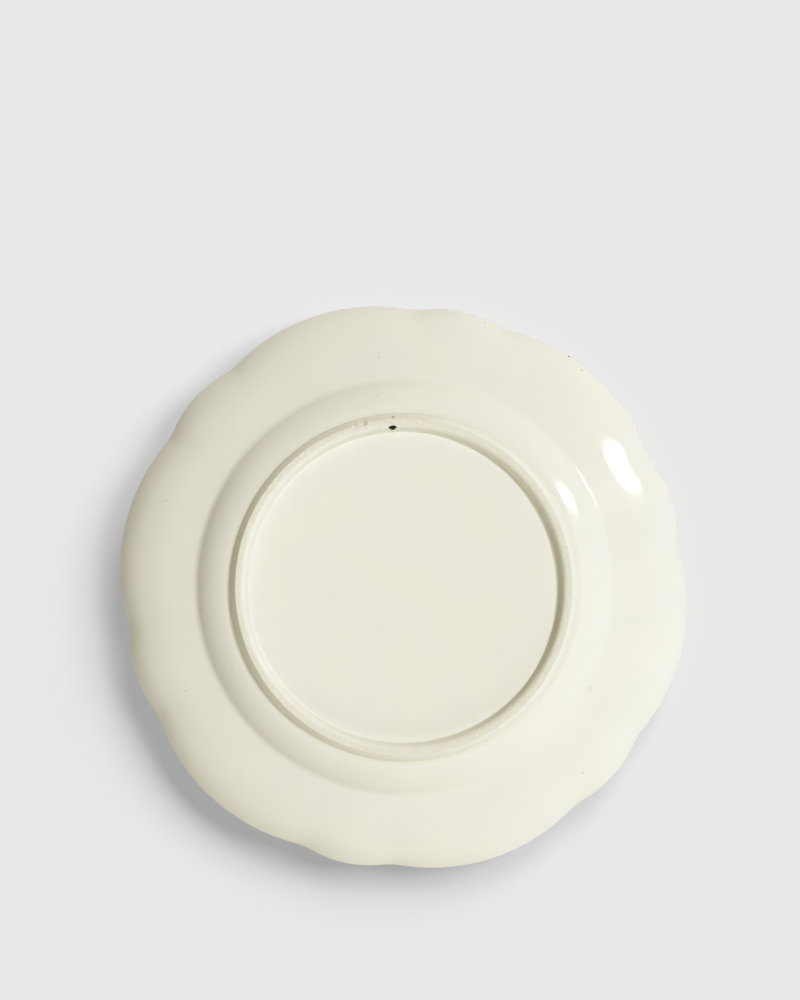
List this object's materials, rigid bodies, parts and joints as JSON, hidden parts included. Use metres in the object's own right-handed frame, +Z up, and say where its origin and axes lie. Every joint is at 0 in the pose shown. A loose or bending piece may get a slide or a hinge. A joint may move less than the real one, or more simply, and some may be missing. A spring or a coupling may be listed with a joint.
{
  "type": "scalloped dessert plate",
  "caption": "Round dessert plate of cream glazed porcelain with a scalloped rim that curls up to its lip, a shallow well, and a low foot ring pierced for hanging.",
  "frame": {"origin": "centre of the foot ring's bare edge, at the height of the surface that the plate stands on", "axes": "+Z up out of the eating face along the plate's axis; +X through the middle of a large lobe of the rim"},
  "size_m": [0.24, 0.2372, 0.0309],
  "materials": {
    "biscuit_clay": "unglazed soft-paste porcelain, pale beige, seen only where the glaze is left off",
    "glazed_foot": "glazed soft-paste porcelain with a bare, slightly rough bearing edge",
    "cream_glaze": "thick glossy cream-white lead glaze, faintly uneven, with a few specks and pinholes"
  },
  "bodies": {
    "root": {"body": "biscuit_clay", "foot_ring": "glazed_foot", "front_glaze": "cream_glaze", "back_glaze": "cream_glaze", "recess_glaze": "cream_glaze"}
  },
  "joints": []
}
